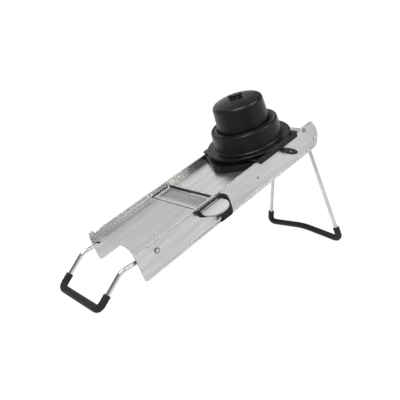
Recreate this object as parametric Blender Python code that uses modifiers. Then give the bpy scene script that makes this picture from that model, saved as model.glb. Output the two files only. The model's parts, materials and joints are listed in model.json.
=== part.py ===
"""Mandoline slicer: a sheet-steel slicing deck on two folding wire legs.

Deck frame: u runs along the deck from its low end, v across it (world Y), w is
normal to it, from the walls' lower edges. Lengths are millimetres here and metres in Blender.
"""
import math

import bmesh
import bpy
from mathutils import Vector

MM = 0.001

# Deck
DECK_TILT = 22.8            # degrees
DECK_ORIGIN = (-175.63, 3.3, 28.24)
WALL_OUTER = 62.5           # half the width over both walls
WALL_T = 1.5
WALL_INNER = WALL_OUTER - WALL_T
WALL_HEIGHT = 44.7
TABLE_TOP = 37.0
SHEET_T = 1.0
TABLE_UNDER = TABLE_TOP - SHEET_T
TABLE_HALF = 60.4
LOW_ARC_DEPTH = 14.5
LOW_ARC_HALF = 58.0
LOW_EDGE = 0.4              # the table's low corners stand back from the walls' ends
LOW_TABLE_END = 126.3
BRACE_U = 250.0
BRACE_W = 23.0
GAP = 0.3

# Window that the blade cartridge slides through
WINDOW = (123.8, 163.8, 29.6, 38.8)

# Feed table, its hinge and its cams
FEED_START = 166.2
FEED_LIP = 6.0              # depth of the turned-down low edge
TABLE_SCREWS = {"low": (171.0, 52.0), "high": (186.0, 55.0)}
FEED_ROLL_START = 388.0
FEED_ROLL_R = 8.0
HINGE_U = 379.0
HINGE_W = 40.2
CAM_U = 328.0
CAM_W = 28.6
SHAFT_R = 3.0
CAM_DROP = 1.85

# Wire legs
WIRE_R = 3.4
BORE_R = 3.75
SLEEVE_R = 5.7
FRONT_PIVOT = (35.0, 30.9)
FRONT_UNDER_EDGE = (0.0, 30.95)
FRONT_BEND = (-23.0, 33.7)
FRONT_FOOT = (-74.5, 6.4)
FRONT_HALF = 53.0
REAR_PIVOT = (400.5, 14.5)
REAR_FOOT = (380.3, -185.9)
REAR_FOOT_RISE = 10.0
REAR_TOP_FAR = 28.0         # the rear leg's arms stand slightly skewed
REAR_TOP_NEAR = 40.0
REAR_FOOT_FAR = 89.0
REAR_FOOT_NEAR = 84.0
PIN_END = 62.3

# Guide rails, carriage and pusher
RAIL_START = 21.0
RAIL_END = 400.8
RAIL_TOP = 46.7
RAIL_T = 1.6
PLATE_W = (47.1, 50.8)
SKIRT_LOW = 38.5            # the carriage's skirt ends just above the table
PUSHER_U = 307.5
HOLE_R = 58.6
SKIRT_HOLE_R = 57.6
GRIP_FACE = 70.4            # the outer face of the cartridge's grip

STEEL = (0.62, 0.62, 0.61, 1.0)
CHROME = (0.78, 0.78, 0.78, 1.0)
BLACK = (0.018, 0.018, 0.019, 1.0)
RUBBER = (0.022, 0.022, 0.024, 1.0)
PALE = (0.52, 0.56, 0.58, 1.0)

FINISHES = {
    "steel": (STEEL, 1.0, 0.32),
    "chrome": (CHROME, 1.0, 0.12),
    "black": (BLACK, 0.0, 0.42),
    "rubber": (RUBBER, 0.0, 0.75),
    "pale": (PALE, 0.0, 0.35),
}


# ---------------------------------------------------------------- scene helpers

def clear_scene():
    for obj in list(bpy.data.objects):
        bpy.data.objects.remove(obj, do_unlink=True)


def new_collection(name):
    coll = bpy.data.collections.new(name)
    bpy.context.scene.collection.children.link(coll)
    return coll


def finish_material(obj, finish):
    colour, metallic, roughness = FINISHES[finish]
    mat = bpy.data.materials.new(obj.name)
    mat.use_nodes = True
    shader = mat.node_tree.nodes["Principled BSDF"]
    shader.inputs["Base Color"].default_value = colour
    shader.inputs["Metallic"].default_value = metallic
    shader.inputs["Roughness"].default_value = roughness
    obj.data.materials.clear()
    obj.data.materials.append(mat)


def empty(name, parent=None, at=(0, 0, 0), turn=(0, 0, 0)):
    obj = bpy.data.objects.new(name, None)
    PARTS.objects.link(obj)
    obj.empty_display_size = 0.02
    obj.location = Vector(at) * MM
    obj.rotation_euler = turn
    obj.parent = parent
    return obj


def place(obj, parent, at=(0, 0, 0), turn=(0, 0, 0)):
    obj.parent = parent
    obj.location = Vector(at) * MM
    obj.rotation_euler = turn
    return obj


def mesh_object(name, bm, coll=None):
    mesh = bpy.data.meshes.new(name)
    bm.to_mesh(mesh)
    bm.free()
    obj = bpy.data.objects.new(name, mesh)
    (coll or PARTS).objects.link(obj)
    return obj


def smooth(obj):
    for poly in obj.data.polygons:
        poly.use_smooth = True
    obj.data.set_sharp_from_angle(angle=math.radians(35))


# ---------------------------------------------------------------- shapes

def box(name, low, high, coll=None):
    """A box between two corners in its own coordinates."""
    bm = bmesh.new()
    bmesh.ops.create_cube(bm, size=1.0)
    low_v = Vector(low)
    high_v = Vector(high)
    bmesh.ops.scale(bm, vec=(high_v - low_v) * MM, verts=bm.verts)
    bmesh.ops.translate(bm, vec=(high_v + low_v) * 0.5 * MM, verts=bm.verts)
    return mesh_object(name, bm, coll)


def cylinder(name, radius, low, high, coll=None, segments=24, top_radius=None):
    """A cylinder or cone about local Z from low to high."""
    bm = bmesh.new()
    top = radius if top_radius is None else top_radius
    bmesh.ops.create_cone(bm, cap_ends=True, segments=segments, radius1=radius * MM,
                          radius2=top * MM, depth=(high - low) * MM)
    bmesh.ops.translate(bm, vec=(0, 0, (high + low) * 0.5 * MM), verts=bm.verts)
    return mesh_object(name, bm, coll)


def turned(name, profile, steps=48):
    """A closed (radius, height) outline turned about local Z; it runs down its outer side."""
    bm = bmesh.new()
    verts = [bm.verts.new((r * MM, 0, h * MM)) for r, h in profile]
    for a, b in zip(verts, verts[1:] + verts[:1]):
        bm.edges.new((a, b))
    obj = mesh_object(name, bm)
    screw = obj.modifiers.new("Turn", "SCREW")
    screw.axis = "Z"
    screw.steps = steps
    screw.render_steps = steps
    screw.use_merge_vertices = True
    screw.merge_threshold = 0.00001
    screw.use_smooth_shade = True
    return obj


def flat(name, outlines, thickness, coll=None):
    """Closed outlines (the first is the edge, the rest are holes) as one flat sheet in local XY."""
    curve = bpy.data.curves.new(name, "CURVE")
    curve.dimensions = "2D"
    curve.fill_mode = "BOTH"
    curve.extrude = thickness * 0.5 * MM
    for outline in outlines:
        spline = curve.splines.new("POLY")
        spline.points.add(len(outline) - 1)
        for point, (x, y) in zip(spline.points, outline):
            point.co = (x * MM, y * MM, 0, 1)
        spline.use_cyclic_u = True
    obj = bpy.data.objects.new(name, curve)
    (coll or PARTS).objects.link(obj)
    return obj


def tube(name, path, radius, coll=None, resolution=2, radii=None):
    """A round bar along a path; radii scales it point by point."""
    curve = bpy.data.curves.new(name, "CURVE")
    curve.dimensions = "3D"
    curve.bevel_depth = radius * MM
    curve.bevel_resolution = resolution
    curve.use_fill_caps = True
    curve.twist_mode = "MINIMUM"
    spline = curve.splines.new("POLY")
    spline.points.add(len(path) - 1)
    for i, (point, where) in enumerate(zip(spline.points, path)):
        point.co = (*(Vector(where) * MM), 1)
        point.radius = 1.0 if radii is None else radii[i]
    obj = bpy.data.objects.new(name, curve)
    (coll or PARTS).objects.link(obj)
    return obj


def as_mesh(obj):
    """The curve object as a mesh object of the same name and place, its caps welded on."""
    bpy.context.view_layer.update()
    graph = bpy.context.evaluated_depsgraph_get()
    mesh = bpy.data.meshes.new_from_object(obj.evaluated_get(graph))
    bm = bmesh.new()
    bm.from_mesh(mesh)
    bmesh.ops.remove_doubles(bm, verts=bm.verts, dist=0.000002)
    bmesh.ops.recalc_face_normals(bm, faces=bm.faces)
    if bm.calc_volume(signed=True) < 0:
        bmesh.ops.reverse_faces(bm, faces=bm.faces)
    bm.to_mesh(mesh)
    bm.free()
    name = obj.name
    parent = obj.parent
    matrix = obj.matrix_basis.copy()
    coll = obj.users_collection[0]
    bpy.data.objects.remove(obj, do_unlink=True)
    made = bpy.data.objects.new(name, mesh)
    mesh.name = name
    coll.objects.link(made)
    made.parent = parent
    made.matrix_basis = matrix
    return made


def boolean(obj, cutter, operation="DIFFERENCE"):
    cutter.hide_render = True
    cutter.display_type = "WIRE"
    mod = obj.modifiers.new(operation.title(), "BOOLEAN")
    mod.operation = operation
    mod.solver = "EXACT"
    mod.object = cutter
    return obj


def bevel(obj, width, segments=2, angle=40):
    mod = obj.modifiers.new("Round", "BEVEL")
    mod.width = width * MM
    mod.segments = segments
    mod.limit_method = "ANGLE"
    mod.angle_limit = math.radians(angle)
    return obj


# ---------------------------------------------------------------- outlines

def arc(cx, cy, radius, start, end, count):
    """Points on an arc from start to end, in degrees."""
    points = []
    for i in range(count + 1):
        a = math.radians(start + (end - start) * i / count)
        points.append((cx + radius * math.cos(a), cy + radius * math.sin(a)))
    return points


def circle(cx, cy, radius, count=20):
    return arc(cx, cy, radius, 0, 360, count)[:-1]


def rectangle(x0, x1, y0, y1):
    return [(x0, y0), (x1, y0), (x1, y1), (x0, y1)]


def rounded_path(corners, radii, steps=6):
    """A path through 3-D corners, each inner one rounded to its own radius."""
    pts = [Vector(c) for c in corners]
    path = [pts[0]]
    for i in range(1, len(pts) - 1):
        back = (pts[i - 1] - pts[i]).normalized()
        ahead = (pts[i + 1] - pts[i]).normalized()
        half = back.angle(ahead) / 2
        radius = radii[i - 1]
        centre = pts[i] + (back + ahead).normalized() * (radius / math.sin(half))
        first = (pts[i] + back * (radius / math.tan(half)) - centre).normalized()
        last = (pts[i] + ahead * (radius / math.tan(half)) - centre).normalized()
        for k in range(steps + 1):
            path.append(centre + first.slerp(last, k / steps) * radius)
    path.append(pts[-1])
    return path


def both_sides(corners):
    """The corners given for +v, from the far pin inwards, then mirrored back to the near pin."""
    return corners + [(u, -v, w) for u, v, w in reversed(corners) if v > 0]


# ---------------------------------------------------------------- frame

def wall_outline():
    high_end = [(402.0, WALL_HEIGHT)]
    high_end += arc(372.5, 22.0, 37.2, 28, -8, 6)
    high_end += arc(391.5, 14.5, 15.0, -12, -86, 5)
    low_corner = arc(5.0, 5.0, 5.0, 270, 180, 4)
    return low_corner + [(0.0, WALL_HEIGHT)] + high_end


def side_walls():
    holes = [
        rectangle(WINDOW[0], WINDOW[1], WINDOW[2], WINDOW[3]),
        circle(*FRONT_PIVOT, BORE_R),
        circle(*REAR_PIVOT, BORE_R),
        circle(CAM_U, CAM_W, SHAFT_R + GAP),
        circle(HINGE_U, HINGE_W, 2.3, 16),
        circle(BRACE_U, BRACE_W, 1.8, 12),
    ]
    for side, sign in (("near", -1), ("far", 1)):
        wall = flat(f"side_wall_{side}", [wall_outline(), *holes], WALL_T)
        place(wall, DECK, (0, sign * (WALL_OUTER - WALL_T / 2), 0), (math.pi / 2, 0, 0))
        finish_material(wall, "steel")


def guide_rails():
    half = (RAIL_END - RAIL_START) / 2
    for side, sign in (("near", -1), ("far", 1)):
        rail = box(f"guide_rail_{side}", (-half, -1.5, -RAIL_T / 2), (half, 1.5, RAIL_T / 2))
        bevel(rail, 0.4)
        place(rail, DECK, (RAIL_START + half, sign * 61.5, RAIL_TOP - RAIL_T / 2))
        finish_material(rail, "steel")
    stop = box("rail_stop_far", (-4.5, -1.4, -2.5), (4.5, 1.4, 2.5))
    bevel(stop, 0.5)
    place(stop, DECK, (6.0, 61.5, WALL_HEIGHT + GAP + 2.5))
    finish_material(stop, "steel")


def low_edge(v):
    """The lower table's concave low edge: its u at a given v."""
    return LOW_ARC_DEPTH * max(0.0, 1 - (v / LOW_ARC_HALF) ** 2) + LOW_EDGE


def lower_table():
    edge = []
    for i in range(25):
        v = TABLE_HALF * (1 - i / 12)
        edge.append((low_edge(v), v))
    outline = edge + [(LOW_TABLE_END, -TABLE_HALF), (LOW_TABLE_END, TABLE_HALF)]
    table = flat("table_lower", [outline], SHEET_T)
    place(table, DECK, (0, 0, TABLE_TOP - SHEET_T / 2))
    finish_material(table, "steel")


def mid_brace():
    brace = cylinder("cross_brace_mid", 3.5, -60.6, 60.6)
    place(brace, DECK, (BRACE_U, 0, BRACE_W), (math.pi / 2, 0, 0))
    finish_material(brace, "steel")
    smooth(brace)


def headed_pin(name, finish, head_r, head_h, shank_r, shank_l, parent, at, turn, steps=20):
    """A low domed head on a shank: local Z points out of the head, and its seat is at Z = 0."""
    profile = [
        (0.0, head_h),
        (head_r * 0.6, head_h * 0.92),
        (head_r * 0.9, head_h * 0.6),
        (head_r, head_h * 0.2),
        (head_r, 0.0),
        (shank_r, 0.0),
        (shank_r, -shank_l),
        (0.0, -shank_l),
    ]
    bm = bmesh.new()
    verts = [bm.verts.new((r * MM, 0, h * MM)) for r, h in profile]
    for a, b in zip(verts, verts[1:]):
        bm.edges.new((a, b))
    obj = mesh_object(name, bm)
    screw = obj.modifiers.new("Turn", "SCREW")
    screw.steps = steps
    screw.render_steps = steps
    screw.use_merge_vertices = True
    screw.merge_threshold = 0.00001
    screw.use_smooth_shade = True
    place(obj, parent, at, turn)
    finish_material(obj, finish)
    return obj


SIDES = (("near", -1, (math.pi / 2, 0, 0)), ("far", 1, (-math.pi / 2, 0, 0)))


def wall_fasteners():
    for side, sign, outward in SIDES:
        seat = sign * (WALL_OUTER + GAP)
        headed_pin(f"brace_rivet_{side}", "steel", 3.2, 1.2, 1.5, 1.9, DECK,
                   (BRACE_U, seat, BRACE_W), outward)
        headed_pin(f"hinge_screw_{side}", "chrome", 3.8, 1.8, 2.0, 4.2, DECK,
                   (HINGE_U, seat, HINGE_W), outward)


def leg_pads():
    """Rubber strips under the lower table's low corners, between it and the front leg."""
    outer, inner, depth = 60.2, 43.0, 9.0
    for side, sign in (("near", -1), ("far", 1)):
        places = [outer + (inner - outer) * i / 4 for i in range(5)]
        outline = [(low_edge(v) + 0.2, sign * v) for v in places]
        outline += [(low_edge(v) + depth, sign * v) for v in reversed(places)]
        pad = flat(f"leg_pad_{side}", [outline], 1.15)
        place(pad, DECK, (0, 0, 35.18))
        finish_material(pad, "rubber")


def leg_stop():
    """The plate at the high end that the opened rear leg leans on."""
    outline = [(-60.6, 6.0), (60.6, 6.0), (60.6, -3.0), (50.0, -11.0), (-50.0, -11.0), (-60.6, -3.0)]
    plate = flat("leg_stop_plate", [outline], 1.2)
    lean = math.atan2(REAR_PIVOT[0] - REAR_FOOT[0], REAR_PIVOT[1] - REAR_FOOT[1])
    frame = empty("leg_stop_frame", DECK, (REAR_PIVOT[0], 0, REAR_PIVOT[1]), (0, lean, 0))
    place(plate, frame, (WIRE_R + 0.3 + 0.6, 0, 0), (math.pi / 2, 0, math.pi / 2))
    finish_material(plate, "steel")


# ---------------------------------------------------------------- feed table and its lever

def feed_table():
    hinge = empty("feed_hinge", DECK, (HINGE_U, 0, HINGE_W))
    roll = FEED_ROLL_R
    outer = arc(FEED_ROLL_START, TABLE_TOP - roll, roll, 90, 15, 6)
    inner = arc(FEED_ROLL_START, TABLE_TOP - roll, roll - SHEET_T, 15, 90, 6)
    lip_low = TABLE_TOP - FEED_LIP
    lip_inside = FEED_START + SHEET_T
    outline = [(lip_inside, TABLE_UNDER), (lip_inside, lip_low), (FEED_START, lip_low),
               (FEED_START, TABLE_TOP), *outer, *inner]
    outline = [(u - HINGE_U, w - HINGE_W) for u, w in outline]
    table = flat("feed_table", [outline], 2 * TABLE_HALF)
    place(table, hinge, (0, 0, 0), (math.pi / 2, 0, 0))
    table = as_mesh(table)
    finish_material(table, "steel")
    slots = []
    for i in range(5):
        v = (i - 2) * 20.0
        slots.append(box(f"cut_slot_{i}", (168.6, v - 4.5, 30), (170.6, v + 4.5, 45), CUTTERS))
    for u, v in TABLE_SCREWS.values():
        hole = cylinder("cut_screw", 1.6, 30, 45, CUTTERS, 12)
        hole.location = (u * MM, v * MM, 0)
        slots.append(hole)
    for cutter in slots:
        cutter.parent = DECK
        boolean(table, cutter)
    for side, sign in (("near", -1), ("far", 1)):
        lug = flat(f"hinge_lug_{side}", [rectangle(-7, 7, -2.9, 3.2), circle(0, 0, 2.3, 16)], 1.0)
        place(lug, hinge, (0, sign * 59.8, 0), (math.pi / 2, 0, 0))
        finish_material(lug, "steel")
    for end, (u, v) in TABLE_SCREWS.items():
        headed_pin(f"table_screw_{end}", "chrome", 2.6, 0.9, 1.2, 3.0, hinge,
                   (u - HINGE_U, v, TABLE_TOP + GAP - HINGE_W), (0, 0, 0), 16)


def snail_outline(top_radius, drop):
    """A cam whose radius falls by drop over a quarter turn from its crest at the top."""
    points = []
    for i in range(36):
        a = 10.0 * i
        if a <= 100:
            radius = top_radius - drop * a / 90
        else:
            low = top_radius - drop * 100 / 90
            radius = low + (top_radius - low) * max(0.0, (a - 330) / 30)
        angle = math.radians(90 - a)
        points.append((radius * math.cos(angle), radius * math.sin(angle)))
    return points


def lever():
    axis = empty("lever_axis", DECK, (CAM_U, 0, CAM_W))
    along_v = (math.pi / 2, 0, 0)
    shaft = cylinder("cam_shaft", SHAFT_R, -64.6, 62.9)
    place(shaft, axis, (0, 0, 0), along_v)
    finish_material(shaft, "chrome")
    smooth(shaft)
    crest = TABLE_UNDER - GAP - CAM_W
    for side, sign in (("near", -1), ("far", 1)):
        bore = circle(0, 0, SHAFT_R + GAP)
        cam = flat(f"cam_{side}", [snail_outline(crest, CAM_DROP), bore], 6.0)
        place(cam, axis, (0, sign * 42.0, 0), along_v)
        finish_material(cam, "black")
    clip = flat("shaft_clip", [circle(0, 0, 5.5), circle(0, 0, SHAFT_R + GAP)], 1.0)
    place(clip, axis, (0, WALL_OUTER + 0.9, 0), along_v)
    finish_material(clip, "steel")
    lever_grip(axis, along_v)


def lever_grip(axis, along_v):
    """The oval lever, held clear of the wall by a boss so that the carriage passes inside it."""
    lean = math.radians(-34.0)
    oval = [(18.7 * math.cos(math.radians(a)), 5.2 * math.sin(math.radians(a)))
            for a in range(0, 360, 10)]
    knob = as_mesh(flat("lever_knob", [oval], 4.6))
    knob.matrix_basis.identity()
    place(knob, axis, (0, -(WALL_OUTER + 6.2), 0), (math.pi / 2, -lean, 0))
    bevel(knob, 1.4, 3)
    boss = cylinder("join_boss", 4.6, WALL_OUTER + 0.9, WALL_OUTER + 4.4, CUTTERS)
    place(boss, axis, (0, 0, 0), along_v)
    boolean(knob, boss, "UNION")
    finish_material(knob, "black")
    headed_pin("lever_screw", "chrome", 2.4, 0.6, 1.2, 0.2, axis, (0, -(WALL_OUTER + 8.8), 0),
               along_v, 16)


# ---------------------------------------------------------------- blade cartridge

def blade_outline():
    """Straight edge uphill, saw teeth downhill, in deck u and v."""
    u_teeth = 126.8
    depth = 2.2
    pitch = 4.2
    v_low = -50.0
    count = 25
    points = [(159.8, v_low), (159.8, v_low + pitch * count)]
    for i in range(count, 0, -1):
        v = v_low + pitch * i
        points.append((u_teeth + depth, v))
        points.append((u_teeth, v - pitch / 2))
    points.append((u_teeth + depth, v_low))
    return points


def cartridge():
    slide = empty("cartridge_slide", DECK, (0, 0, 0))
    frame_low = 30.2
    outline = [(124.4, -62.7), (163.2, -62.7), (163.2, -51.0), (133.0, -51.0),
               (133.0, 56.0), (163.2, 56.0), (163.2, 66.0), (124.4, 66.0)]
    frame = flat("cartridge_frame", [outline], 5.2)
    place(frame, slide, (0, 0, frame_low + 2.6))
    finish_material(frame, "black")
    blade = flat("slicing_blade", [blade_outline()], 1.2)
    place(blade, slide, (0, 0, 36.5))
    finish_material(blade, "steel")
    for side, v0, v1 in (("near", -60.4, -50.4), ("far", 55.4, 60.4)):
        clamp = flat(f"blade_clamp_{side}", [rectangle(126.8, 162.6, v0, v1),
                                             circle(146.0, (v0 + v1) / 2, 1.5, 12)], 1.3)
        place(clamp, slide, (0, 0, 36.4))
        finish_material(clamp, "steel")
        headed_pin(f"clamp_screw_{side}", "chrome", 2.3, 0.8, 1.1, 1.5, slide,
                   (146.0, (v0 + v1) / 2, 37.35), (0, 0, 0), 16)
    tip = box("cartridge_tip", (126.8, 61.4, 35.8), (162.6, 66.0, 38.2))
    bevel(tip, 0.4)
    place(tip, slide)
    finish_material(tip, "black")
    handle(slide)


def handle(slide):
    """The black grip outside the near wall, with its pale thumb tab."""
    outline = [(114.8, 46.2), (165.5, 46.2), (172.0, 42.6), (176.2, 37.2), (177.8, 30.0),
               (178.0, 20.0), (177.6, 11.5), (176.4, 6.0), (173.0, 3.8), (150.0, 4.6),
               (149.6, 6.8), (156.0, 9.4), (146.8, 20.8), (150.5, 25.5), (165.0, 27.5),
               (169.0, 31.5), (169.5, 36.0), (165.0, 43.6), (120.4, 43.6), (120.0, 34.8),
               (116.4, 34.8)]
    thick = 4.0
    grip = as_mesh(flat("cartridge_handle", [outline], thick))
    place(grip, slide, (0, -(GRIP_FACE - thick / 2), 0), (math.pi / 2, 0, 0))
    tab_u, tab_v, tab_r, seat = 142.2, -76.6, 21.9, -(WALL_OUTER + 0.8)
    shelf_edge = [(118.5, seat), (118.5, -70.0)]
    shelf_edge += arc(tab_u, tab_v, 18.0, 195, 345, 12)
    shelf_edge += [(172.0, -70.0), (172.0, seat)]
    shelf = as_mesh(flat("join_shelf", [shelf_edge], 2.4, CUTTERS))
    place(shelf, slide, (0, 0, 34.6))
    boolean(grip, shelf, "UNION")
    finish_material(grip, "black")
    start = math.degrees(math.acos((seat - tab_v) / tab_r))
    edge = arc(tab_u, tab_v, tab_r, 90 + start, 450 - start, 28)
    tab = as_mesh(flat("pull_tab", [edge], 3.0))
    place(tab, slide, (0, 0, 37.6))
    bevel(tab, 0.6)
    finish_material(tab, "pale")


# ---------------------------------------------------------------- carriage and pusher

def carriage():
    """A plate on the rails, a skirt round the food below it, and lips outside the walls."""
    slide = empty("carriage_slide", DECK, (PUSHER_U, 0, 0))
    half_u, half_v, round_r, round_a = 50.5, 66.0, 70.0, 41.6
    outline = [(-half_u, -half_v), (half_u, -half_v), *arc(0, 0, round_r, -round_a, round_a, 10),
               (half_u, half_v), (-half_u, half_v),
               *arc(0, 0, round_r, 180 - round_a, 180 + round_a, 10)]
    thick = PLATE_W[1] - PLATE_W[0]
    plate = as_mesh(flat("carriage_plate", [outline, circle(0, 0, HOLE_R, 64)], thick))
    place(plate, slide, (0, 0, (PLATE_W[0] + PLATE_W[1]) / 2))
    skirt_half = 59.4
    skirt_edge = [(-82.5, -9.0), (-54.5, -skirt_half), (50.0, -skirt_half), (62.0, -38.0),
                  (62.0, 38.0), (50.0, skirt_half), (-54.5, skirt_half), (-82.5, 9.0)]
    skirt_top = PLATE_W[0] + 0.4
    skirt = as_mesh(flat("join_skirt", [skirt_edge, circle(0, 0, SKIRT_HOLE_R, 64)],
                         skirt_top - SKIRT_LOW, CUTTERS))
    place(skirt, slide, (0, 0, (skirt_top + SKIRT_LOW) / 2))
    boolean(plate, skirt, "UNION")
    for side, v0, v1 in (("near", -66.0, -63.5), ("far", 63.5, 66.0)):
        lip = box(f"join_lip_{side}", (-46.0, v0, 41.0), (half_u - 1, v1, 48.0), CUTTERS)
        lip.parent = slide
        boolean(plate, lip, "UNION")
    finish_material(plate, "black")
    pusher()


def wing_outline(half_length, half_width, turn):
    """A rounded bar, fuller than an ellipse, turned by an angle in degrees."""
    points = []
    for i in range(48):
        a = math.radians(7.5 * i)
        reach = (abs(math.cos(a) / half_length) ** 3 + abs(math.sin(a) / half_width) ** 3) ** (-1 / 3)
        angle = a + math.radians(turn)
        points.append((reach * math.cos(angle), reach * math.sin(angle)))
    return points


def pusher():
    housing_axis = empty("pusher_axis", DECK, (PUSHER_U, 0, 0))
    housing = turned("pusher_housing", [
        (46.0, 86.4), (47.2, 86.8), (54.0, 86.8), (56.2, 85.8), (57.2, 83.4), (59.0, 59.6),
        (60.2, 57.6), (62.4, 56.7), (71.2, 56.3), (72.8, 55.2), (73.0, 53.4), (72.2, 51.4),
        (71.2, 51.1), (58.2, 51.1), (58.2, 47.6), (55.6, 47.6), (55.0, 58.0), (53.2, 81.0),
        (50.5, 83.8), (48.0, 83.8), (48.0, 72.0), (45.5, 72.0), (45.5, 85.6)])
    place(housing, housing_axis)
    finish_material(housing, "black")
    cap = turned("pusher_cap", [
        (3.4, 134.0), (12.0, 133.4), (22.0, 131.9), (31.0, 129.9), (36.5, 128.4), (39.8, 126.8),
        (41.8, 124.6), (42.8, 121.4), (43.6, 104.0), (44.6, 86.0), (44.9, 73.4), (42.4, 73.4),
        (42.0, 86.0), (41.0, 104.0), (40.2, 120.5), (38.2, 124.2), (34.0, 126.2), (22.0, 129.2),
        (12.0, 130.8), (3.4, 131.4)])
    place(cap, housing_axis)
    finish_material(cap, "black")
    pins = turned("pin_plate", [(3.4, 80.6), (40.0, 80.6), (41.0, 79.6), (41.0, 78.0), (3.4, 78.0)])
    place(pins, housing_axis)
    for i in range(10):
        ring = 33.0 if i % 2 else 19.0
        angle = math.radians(36 * i)
        spike = cylinder(f"join_spike_{i}", 0.5, 67.5, 78.6, CUTTERS, 10, 1.7)
        spike.parent = housing_axis
        spike.location = (ring * math.cos(angle) * MM, ring * math.sin(angle) * MM, 0)
        boolean(pins, spike, "UNION")
    finish_material(pins, "chrome")
    spindle = turned("cap_spindle", [(0.0, 134.1), (3.0, 134.1), (3.0, 77.7), (6.5, 77.7),
                                     (6.5, 75.2), (0.0, 75.2)], 24)
    place(spindle, housing_axis)
    finish_material(spindle, "chrome")
    knob_at = 134.4
    knob_t = 5.4
    knob = as_mesh(flat("cap_knob", [wing_outline(12.4, 5.4, -45.0)], knob_t))
    place(knob, housing_axis, (0, 0, knob_at + knob_t / 2))
    bevel(knob, 1.4, 2)
    finish_material(knob, "black")


# ---------------------------------------------------------------- legs

def leg(name, pivot, corners, radii, foot_corners, foot_radii, sleeve_r, sleeve_scale):
    """A bent wire that turns in the walls, and the rubber sleeve on its foot."""
    axis = empty(f"{name}_axis", DECK, (pivot[0], 0, pivot[1]))

    def local(points):
        return [(u - pivot[0], v, w - pivot[1]) for u, v, w in points]

    wire = tube(f"{name}_wire", rounded_path(local(corners), radii), WIRE_R)
    place(wire, axis)
    finish_material(wire, "chrome")
    path = rounded_path(local(foot_corners), foot_radii)
    scale = [sleeve_scale if min(i, len(path) - 1 - i) < 4 else 1.0 for i in range(len(path))]
    foot = tube(f"{name}_foot", path, sleeve_r, resolution=3, radii=scale)
    place(foot, axis)
    foot = as_mesh(foot)
    bore = tube(f"cut_{name}_bore", rounded_path(local(corners)[1:-1], radii[1:-1]),
                WIRE_R + GAP, CUTTERS)
    place(bore, axis)
    boolean(foot, as_mesh(bore))
    floor = box(f"cut_{name}_floor", (-400, -200, -40), (400, 200, 0), CUTTERS)
    boolean(foot, floor)
    finish_material(foot, "rubber")
    for side, sign, outward in SIDES:
        headed_pin(f"{name}_cap_{side}", "steel", 5.0, 1.6, 1.6, 0.1, axis,
                   (0, sign * (WALL_OUTER + GAP + 0.2), 0), outward)


def up_arm(foot, top, length):
    """A point length up the arm from the foot corner towards the arm's upper corner."""
    foot_v = Vector(foot)
    return tuple(foot_v + (Vector(top) - foot_v).normalized() * length)


def legs():
    pin, turn, under, bend, foot = [
        (u, v, w) for (u, w), v in ((FRONT_PIVOT, PIN_END), (FRONT_PIVOT, FRONT_HALF),
                                    (FRONT_UNDER_EDGE, FRONT_HALF), (FRONT_BEND, FRONT_HALF),
                                    (FRONT_FOOT, FRONT_HALF))]
    bends = [5, 60, 14, 9]      # at the pin, under the table's edge, in front of it, at the foot
    leg("front_leg", FRONT_PIVOT, both_sides([pin, turn, under, bend, foot]),
        bends + bends[::-1], both_sides([up_arm(foot, bend, 22), foot]), bends[-1:] * 2,
        SLEEVE_R, 0.95)
    top_u, top_w = REAR_PIVOT
    foot_u, foot_w = REAR_FOOT
    rise = REAR_FOOT_RISE / math.dist(REAR_FOOT, REAR_PIVOT)
    middle = (foot_u + (top_u - foot_u) * rise, 0.0, foot_w + (top_w - foot_w) * rise)
    far = [(top_u, REAR_TOP_FAR, top_w), (foot_u, REAR_FOOT_FAR, foot_w)]
    near = [(foot_u, -REAR_FOOT_NEAR, foot_w), (top_u, -REAR_TOP_NEAR, top_w)]
    wire = [(top_u, PIN_END, top_w), *far, middle, *near, (top_u, -PIN_END, top_w)]
    sleeve = [up_arm(far[1], far[0], 25), far[1], middle, near[0], up_arm(near[0], near[1], 25)]
    at_top, at_foot, at_middle = 6, 8, 150
    foot_bends = [at_foot, at_middle, at_foot]
    leg("rear_leg", REAR_PIVOT, wire, [at_top, *foot_bends, at_top], sleeve, foot_bends,
        SLEEVE_R, 1.07)


clear_scene()
PARTS = new_collection("mandoline_slicer")
CUTTERS = new_collection("cutters")
DECK = empty("deck_frame", None, DECK_ORIGIN, (0, -math.radians(DECK_TILT), 0))
side_walls()
guide_rails()
lower_table()
mid_brace()
wall_fasteners()
leg_pads()
leg_stop()
feed_table()
lever()
cartridge()
carriage()
legs()
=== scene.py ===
import json
import math

import bmesh
import bpy
from mathutils import Matrix, Vector


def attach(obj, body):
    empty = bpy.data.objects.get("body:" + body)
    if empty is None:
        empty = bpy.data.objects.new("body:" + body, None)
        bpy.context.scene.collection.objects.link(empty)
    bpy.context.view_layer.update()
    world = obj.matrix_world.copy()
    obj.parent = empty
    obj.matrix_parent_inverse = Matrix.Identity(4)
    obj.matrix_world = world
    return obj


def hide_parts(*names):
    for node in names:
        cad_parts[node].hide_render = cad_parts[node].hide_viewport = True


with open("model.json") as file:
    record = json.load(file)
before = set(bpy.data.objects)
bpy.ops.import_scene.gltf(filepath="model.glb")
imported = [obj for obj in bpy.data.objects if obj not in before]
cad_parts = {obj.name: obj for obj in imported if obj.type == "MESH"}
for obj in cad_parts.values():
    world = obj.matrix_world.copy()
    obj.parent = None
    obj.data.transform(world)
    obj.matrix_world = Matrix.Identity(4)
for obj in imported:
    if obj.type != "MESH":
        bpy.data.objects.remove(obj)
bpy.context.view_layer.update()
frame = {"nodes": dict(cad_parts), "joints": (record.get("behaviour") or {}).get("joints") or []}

MM = 0.001
WELD = 0.000002             # metres; closer points on a curve's mesh become one
NODES = frame["nodes"]
JOINTS = {joint["name"]: joint for joint in frame["joints"]}
SIDES = (("near", -1.0), ("far", 1.0))


# ---------------------------------------------------------------- the deck's own axes

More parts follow.
